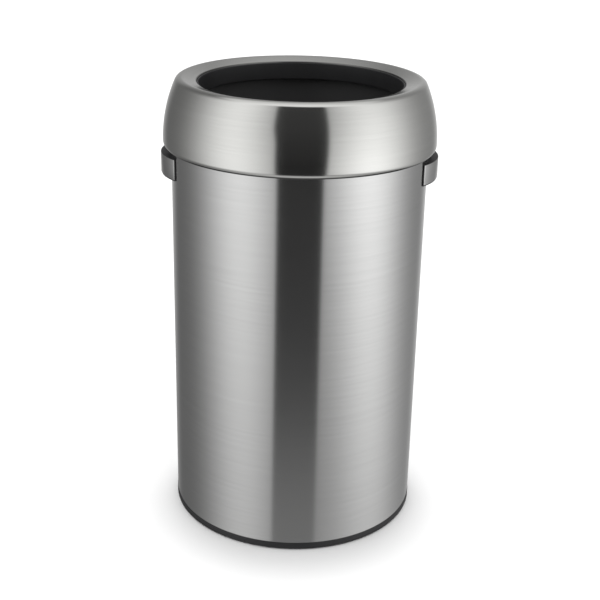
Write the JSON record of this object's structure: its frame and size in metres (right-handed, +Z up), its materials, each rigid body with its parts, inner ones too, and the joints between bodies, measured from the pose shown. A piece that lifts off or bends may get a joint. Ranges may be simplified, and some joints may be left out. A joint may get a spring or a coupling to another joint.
{
  "type": "open-top waste bin",
  "caption": "Round brushed-steel floor bin with a lift-off hooded lid, an open dished mouth, a lift-out plastic bucket, side cup handles and a plastic base ring.",
  "frame": {"origin": "on the floor under the middle of the can", "axes": "+Z up along the can's axis, -Y towards the front, handles on +X and -X"},
  "size_m": [0.3842, 0.3764, 0.6361],
  "materials": {
    "shell_steel": "brushed round the can, satin",
    "hood_steel": "brushed round the hood, satin",
    "strip_steel": "brushed along the strip, satin",
    "plated_steel": "zinc plated",
    "black_plastic": "fine moulded grain",
    "bucket_plastic": "moulded, slightly satin",
    "pad_rubber": "matte"
  },
  "bodies": {
    "can": {"body_shell": "shell_steel", "base_ring": "black_plastic", "base_pan": "plated_steel", "base_screws": "plated_steel", "base_pads": "pad_rubber", "right_handle_cup": "black_plastic", "right_handle_plate": "strip_steel", "right_handle_backing": "plated_steel", "right_handle_screws": "plated_steel", "left_handle_cup": "black_plastic", "left_handle_plate": "strip_steel", "left_handle_backing": "plated_steel", "left_handle_screws": "plated_steel"},
    "bucket": {"liner_bucket": "bucket_plastic"},
    "lid": {"lid_hood": "hood_steel", "mouth_collar": "black_plastic", "lid_seat_ring": "black_plastic"}
  },
  "joints": [
    {"name": "bucket_lift", "type": "slide", "parent": "can", "child": "bucket", "axis": [0, 0, 1], "range_m": [0, 0.58]},
    {"name": "lid_lift", "type": "slide", "parent": "bucket", "child": "lid", "axis": [0, 0, 1], "range_m": [0, 0.16]}
  ]
}
